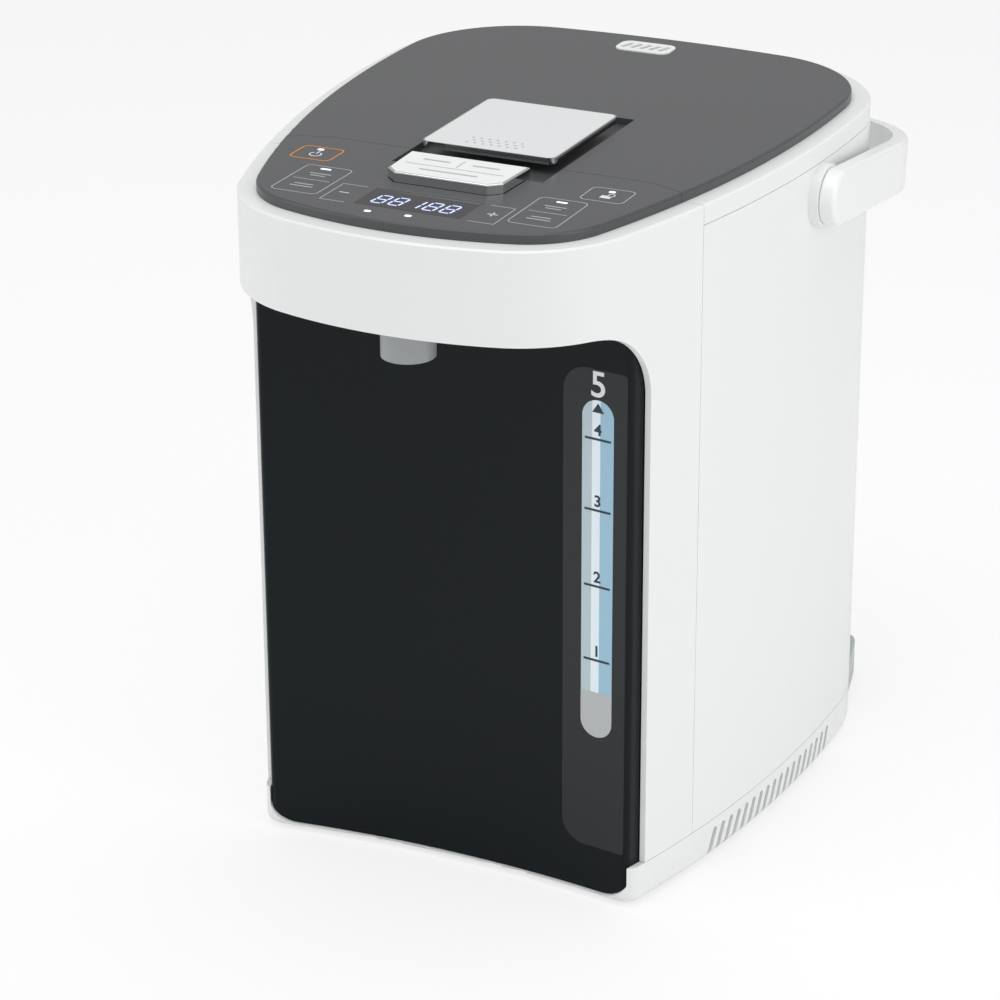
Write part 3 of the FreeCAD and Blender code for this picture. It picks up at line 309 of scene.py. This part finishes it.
def addPadIcons():
    # generic marks: a power ring, an open lock, two dashes in each pair
    f = fascia
    z = f["top"]
    turn = np.linspace(math.radians(125), math.radians(415), 20)
    cx, cy = f["powerX"] * mm, (f["padY"] - 1.5) * mm
    arcs = [np.column_stack([cx + r * mm * np.cos(turn), cy + r * mm * np.sin(turn)])
            for r in (3.0, 2.4)]
    outline = np.vstack([arcs[0], arcs[1][::-1]])
    ring = addPiece("powerRing", slabPoints(outline, z - 0.05 * mm, z + 0.08 * mm),
                    slabFaces(len(outline)), whiteInk, "pot")
    stroke = inkBar("powerStroke", cx, cy + 2.6 * mm, 0.3 * mm, 1.8 * mm, z, whiteInk, "pot")
    icons = [joinPieces("powerIcon", [ring, stroke])]
    lx, ly = f["unlockX"] * mm, (f["padY"] - 2.5) * mm
    case = inkBar("lockCase", lx, ly, 2.4 * mm, 1.7 * mm, z, whiteInk, "pot")
    hoop = inkFrame("lockHoop", lx + 1.6 * mm, ly + 2.8 * mm, 1.6 * mm, 1.9 * mm, 1.4 * mm,
                    0.45 * mm, z, whiteInk, "pot")
    icons.append(joinPieces("lockIcon", [case, hoop]))
    for side, cx, cy in (("left", f["leftPairX"], f["leftPairY"]),
                         ("right", f["rightPairX"], f["rightPairY"])):
        rows = []
        for i, (dy, half) in enumerate(((8.0, 5.2), (5.2, 3.6), (-7.2, 4.6), (-10.2, 5.6))):
            rows.append(inkBar(f"{side}Mark{i}", cx * mm, (cy + dy) * mm, half * mm, 0.42 * mm, z,
                               greyInk, "pot"))
        icons.append(joinPieces(side + "PairMarks", rows))
    return icons


lamps = {"spots": [(-73.4, -127.3), (70.0, -128.0), (-57.9, -151.7), (56.0, -150.0),
                   (-15.0, -194.8), (3.7, -193.4)]}


def addLamps():
    z = fascia["top"]
    made = []
    for i, (x, y) in enumerate(lamps["spots"]):
        half = (2.6, 0.8) if i in (2, 3) else (1.5, 1.1)
        outline = roundedBox(x * mm, y * mm, half[0] * mm, half[1] * mm, 0.7 * mm, 5)
        made.append(addPiece(f"lamp{i}", slabPoints(outline, z - 0.05 * mm, z + 0.1 * mm),
                             slabFaces(len(outline)), lampLight, "pot"))
    return joinPieces("fasciaLamps", made)


display = {"digits": "88188", "height": 10.0, "width": 5.2, "pitch": 8.2, "slant": 0.14,
           "stroke": 0.75, "centreY": -178.4}

segmentBars = {
    # seven segments: centre in half digit widths and heights, and whether the bar lies flat
    "a": (0, 1, True), "b": (1, 0.5, False), "c": (1, -0.5, False), "d": (0, -1, True),
    "e": (-1, -0.5, False), "f": (-1, 0.5, False), "g": (0, 0, True),
}
digitSegments = {"8": "abcdefg", "1": "bc"}


def addDigits():
    d = display
    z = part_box("display_window")[1][2]
    bars = []
    for i, digit in enumerate(d["digits"]):
        cx = (i - 2) * d["pitch"]
        for key in digitSegments[digit]:
            sx, sy, flat = segmentBars[key]
            y = sy * d["height"] / 2
            x = cx + sx * d["width"] / 2 + d["slant"] * y
            halfX = d["width"] / 2 - 0.55 if flat else d["stroke"] / 2
            halfY = d["stroke"] / 2 if flat else d["height"] / 4 - 0.5
            bars.append(inkBar(f"digit{i}{key}", x * mm, (d["centreY"] + y) * mm, halfX * mm,
                               halfY * mm, z, digitLight, "pot", 0.0 if flat else -d["slant"]))
    return joinPieces("displayDigits", bars)


addTouchPads()
addSigns()
addPadIcons()
addLamps()
addDigits()
print("fascia printed")


keyTop = {"seamY": -141.0, "rearY": -124.6, "frontY": -154.8, "halfRear": 29.0,
          "halfFront": 22.5, "cut": 5.0, "rim": 0.9}
plateCap = {"halfX": 33.0, "middleY": -71.75, "halfY": 36.25, "corner": 3.4, "rim": 0.7}


def addKeyMarks():
    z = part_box("dispense_key")[1][2] + 0.06 * mm
    marks = [inkBar("keySeam", 0, keyTop["seamY"] * mm, 24 * mm, 0.3 * mm, z, greyInk, "key"),
             inkBar("keyUpright", 0, -134.2 * mm, 0.3 * mm, 4.6 * mm, z, greyInk, "key")]
    for i, (x, y, half) in enumerate(((-12, -133.5, 6.5), (12, -133.5, 6.5), (0, -146.8, 14))):
        marks.append(inkBar(f"keyMark{i}", x * mm, y * mm, half * mm, 0.7 * mm, z, greyInk, "key"))
    return joinPieces("keyMarks", marks)


plateDots = {"columns": 7, "rows": 3, "pitch": 4.05, "rowPitch": 3.6, "radius": 0.75,
             "frontY": -101.2}


def addPlateDots():
    # a staggered grid of shallow round marks near the plate's front edge
    p = plateDots
    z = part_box("release_plate")[1][2] + 0.06 * mm
    turn = np.linspace(0, 2 * np.pi, 13)[:-1]
    circle = np.column_stack([np.cos(turn), np.sin(turn)]) * p["radius"] * mm
    dots = []
    for row in range(p["rows"]):
        for column in range(p["columns"]):
            shift = (row % 2) * 0.5
            x = (column - (p["columns"] - 1) / 2 + shift - 0.25) * p["pitch"] * mm
            y = (p["frontY"] + row * p["rowPitch"]) * mm
            dots.append(addPiece(f"dot{row}{column}",
                                 slabPoints(circle + [x, y], z - 0.05 * mm, z + 0.06 * mm),
                                 slabFaces(12), greyInk, "release"))
    return joinPieces("plateDots", dots)


def addKeyCap():
    # satin white top face laid on the key, its outline pulled in by the rim's width
    k = keyTop
    rim = k["rim"]
    rear, front, cut = k["rearY"] - rim, k["frontY"] + rim, k["cut"]
    wide, narrow = k["halfRear"] - rim, k["halfFront"] - rim / 2
    outline = np.array([[-narrow, front], [narrow, front], [wide - 1, front + cut], [wide, rear],
                        [-wide, rear], [-wide + 1, front + cut]]) * mm
    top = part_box("dispense_key")[1][2]
    # the cap takes the lighter ABS copy, whose extra lightness is a painted highlight
    return addPiece("keyCap", slabPoints(outline, top - 0.05 * mm, top + 0.06 * mm),
                    slabFaces(len(outline)), whiteAbsLitPolished, "key")


def addPlateCap():
    # satin top of the plate, with the polished edge left showing round it
    p = plateCap
    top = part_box("release_plate")[1][2]
    outline = roundedBox(0, p["middleY"] * mm, (p["halfX"] - p["rim"]) * mm,
                         (p["halfY"] - p["rim"]) * mm, p["corner"] * mm)
    return addPiece("plateCap", slabPoints(outline, top - 0.05 * mm, top + 0.06 * mm),
                    slabFaces(len(outline)), satinChrome, "release")


addKeyCap()
addPlateCap()
addKeyMarks()
addPlateDots()
print("key and plate marked")


gauge = {"x": 76.2, "half": 8.1, "low": 84.0, "high": 248.6, "panelRadius": 600.0,
         "panelFront": -150.8, "marks": {4: 230.2, 3: 196.2, 2: 159.3, 1: 122.7},
         "five": 255.4, "triangle": 244.6, "refill": 106.6}


def panelFrontY(xMm):
    # the hollow front arc of the dark panel: a circle centred ahead of it
    g = gauge
    return g["panelFront"] - g["panelRadius"] + np.sqrt(g["panelRadius"] ** 2 - xMm ** 2)


def stadiumOutline(half, low, high, steps=14):
    # upright slot with half round ends, as (offset from its middle line, height)
    up = np.linspace(0, np.pi, steps)
    top = np.column_stack([half * np.cos(up), high - half + half * np.sin(up)])
    bottom = np.column_stack([-half * np.cos(up), low + half - half * np.sin(up)])
    return np.vstack([top, bottom])


def facingPanel(outline, depthFront, depthBack):
    # stands a flat outline up in the panel's face: x and z from the outline, y from the arc
    outline = np.asarray(outline, dtype=float)
    x = gauge["x"] + outline[:, 0]
    y = panelFrontY(x)
    back = np.column_stack([x, y + depthBack, outline[:, 1]])
    front = np.column_stack([x, y + depthFront, outline[:, 1]])
    return np.vstack([front, back]) * mm


def facingPiece(name, outline, depthFront, depthBack, material):
    points = facingPanel(outline, depthFront, depthBack)
    faces = slabFaces(len(outline))
    return addPiece(name, points, [tuple(reversed(f)) for f in faces], material, "pot")


def stripOutline(x0, x1):
    # the part of the slot between two offsets, its ends following the half rounds
    g = gauge
    xs = np.linspace(x0, x1, 8)
    rise = np.sqrt(np.maximum(g["half"] ** 2 - xs ** 2, 0))
    top = np.column_stack([xs, g["high"] - g["half"] + rise])
    bottom = np.column_stack([xs[::-1], g["low"] + g["half"] - rise[::-1]])
    return np.vstack([bottom[::-1], top[::-1]])


def addGauge():
    g = gauge
    made = []
    # the tube's face in three upright bands: painted shade on its left, a painted highlight, then
    # the water colour
    bands = (("gaugeShade", -8.0, -3.0, tubeShade), ("gaugeHighlight", -3.0, 1.2, tubeHighlight),
             ("gaugeWater", 1.2, 8.0, tubeBlue))
    for name, x0, x1, material in bands:
        made.append(facingPiece(name, stripOutline(x0, x1), -0.15, 0.3, material))
    refill = stadiumOutline(g["half"] - 0.05, g["low"] + 0.05, g["low"] + 2 * g["half"])
    refill[:, 1] = np.where(refill[:, 1] > g["low"] + g["half"], g["refill"], refill[:, 1])
    made.append(facingPiece("refillZone", refill, -0.2, 0.1, refillGrey))
    return made


def addTicks():
    g = gauge
    ticks = []
    for number, z in g["marks"].items():
        bar = np.array([[-6.6, z - 0.5], [6.6, z - 0.5], [6.6, z + 0.5], [-6.6, z + 0.5]])
        ticks.append(facingPiece(f"tick{number}", bar, -0.28, 0.0, tealInk))
    z = g["triangle"]
    arrow = np.array([[-3.0, z - 1.8], [3.0, z - 1.8], [0.0, z + 2.6]])
    ticks.append(facingPiece("fullArrow", arrow, -0.28, 0.0, tealInk))
    return joinPieces("gaugeTicks", ticks)


def numeral(name, text, sizeMm, z, material, depth):
    # plain numeral from the built-in typeface, laid on the panel's arc
    curve = bpy.data.curves.new(name, "FONT")
    curve.body = text
    curve.size = sizeMm * mm
    curve.align_x = "CENTER"
    curve.align_y = "CENTER"
    curve.extrude = 0.12 * mm
    curve.offset = 0.16 * mm
    typed = bpy.data.objects.new(name + "Curve", curve)
    bpy.context.scene.collection.objects.link(typed)
    bpy.context.view_layer.update()
    mesh = bpy.data.meshes.new_from_object(typed)
    bpy.data.objects.remove(typed)
    flat = np.empty(len(mesh.vertices) * 3)
    mesh.vertices.foreach_get("co", flat)
    flat = flat.reshape(-1, 3)
    x = gauge["x"] * mm + flat[:, 0]
    y = panelFrontY(x / mm) * mm + depth * mm - flat[:, 2]
    placed = np.column_stack([x, y, z * mm + flat[:, 1]])
    mesh.vertices.foreach_set("co", placed.ravel())
    mesh.materials.clear()
    mesh.materials.append(material)
    piece = bpy.data.objects.new(name, mesh)
    bpy.context.scene.collection.objects.link(piece)
    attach(piece, "pot")
    return piece


def addNumerals():
    g = gauge
    made = [numeral("numeral5", "5", 17, g["five"], whiteInk, -0.1)]
    for number, z in g["marks"].items():
        made.append(numeral(f"numeral{number}", str(number), 7.5, z + 4.2, tealInk, -0.12))
    return made


addGauge()
addTicks()
addNumerals()
print("gauge made")


photoCamera = {"place": (0.6331, -1.4286, 0.8069), "target": (0.0, -0.055, 0.191),
               "lens": 123.68, "shiftX": -0.0363, "shiftY": -0.0838}


def addCamera():
    data = bpy.data.cameras.new("camera")
    camera = bpy.data.objects.new("camera", data)
    bpy.context.scene.collection.objects.link(camera)
    c = photoCamera
    camera.location = c["place"]
    direction = np.array(c["target"]) - np.array(c["place"])
    camera.rotation_mode = "QUATERNION"
    camera.rotation_quaternion = Vector(direction).to_track_quat("-Z", "Y")
    data.sensor_width = 36
    data.lens = c["lens"]
    data.shift_x = c["shiftX"]
    data.shift_y = c["shiftY"]
    bpy.context.scene.camera = camera
    return camera


def addFloor():
    size = 6.0
    points = [(-size, -size, 0), (size, -size, 0), (size, size, 0), (-size, size, 0)]
    mesh = bpy.data.meshes.new("floor")
    mesh.from_pydata(points, [], [(0, 1, 2, 3)])
    floor = bpy.data.objects.new("floor", mesh)
    bpy.context.scene.collection.objects.link(floor)
    material = bpy.data.materials.new("paleFloor")
    material.use_nodes = True
    tree = material.node_tree
    shader = tree.nodes["Principled BSDF"]
    shader.inputs["Base Color"].default_value = hexColour("#ffffff")
    shader.inputs["Roughness"].default_value = 0.9
    path = addNode(material, "ShaderNodeLightPath")
    share = addNode(material, "ShaderNodeMath", {"operation": "MULTIPLY", 1: 0.72},
                    {0: path.outputs["Is Camera Ray"]})
    glow = addNode(material, "ShaderNodeEmission", {"Strength": 1.0})
    mix = addNode(material, "ShaderNodeMixShader", None,
                  {"Fac": share.outputs[0], 1: shader.outputs[0], 2: glow.outputs[0]})
    tree.links.new(mix.outputs[0], tree.nodes["Material Output"].inputs["Surface"])
    mesh.materials.append(material)
    return floor


def addWorld():
    world = bpy.data.worlds.new("studio")
    bpy.context.scene.world = world
    world.use_nodes = True
    tree = world.node_tree
    background = tree.nodes["Background"]
    background.inputs["Color"].default_value = (1, 1, 1, 1)
    background.inputs["Strength"].default_value = 0.55
    seen = tree.nodes.new("ShaderNodeBackground")
    seen.inputs["Color"].default_value = (1, 1, 1, 1)
    seen.inputs["Strength"].default_value = 1.0
    path = tree.nodes.new("ShaderNodeLightPath")
    mix = tree.nodes.new("ShaderNodeMixShader")
    tree.links.new(path.outputs["Is Camera Ray"], mix.inputs["Fac"])
    tree.links.new(background.outputs[0], mix.inputs[1])
    tree.links.new(seen.outputs[0], mix.inputs[2])
    tree.links.new(mix.outputs[0], tree.nodes["World Output"].inputs["Surface"])


def addLamp(name, place, target, size, power):
    data = bpy.data.lights.new(name, "AREA")
    data.shape = "RECTANGLE"
    data.size, data.size_y = size
    data.energy = power
    lamp = bpy.data.objects.new(name, data)
    bpy.context.scene.collection.objects.link(lamp)
    lamp.location = place
    lamp.rotation_mode = "QUATERNION"
    lamp.rotation_quaternion = (Vector(target) - Vector(place)).to_track_quat("-Z", "Y")
    return lamp


addCamera()
addFloor()
addWorld()
addLamp("softboxTop", (0.0, -0.3, 1.9), (0, 0, 0.2), (1.6, 1.6), 13)
addLamp("softboxRight", (1.7, -0.5, 0.9), (0, 0, 0.17), (1.0, 1.4), 9)
addLamp("softboxLeft", (-1.6, -1.3, 0.8), (0, 0, 0.17), (0.9, 1.4), 7)
bpy.context.scene.view_settings.view_transform = "Standard"
print("stage set")
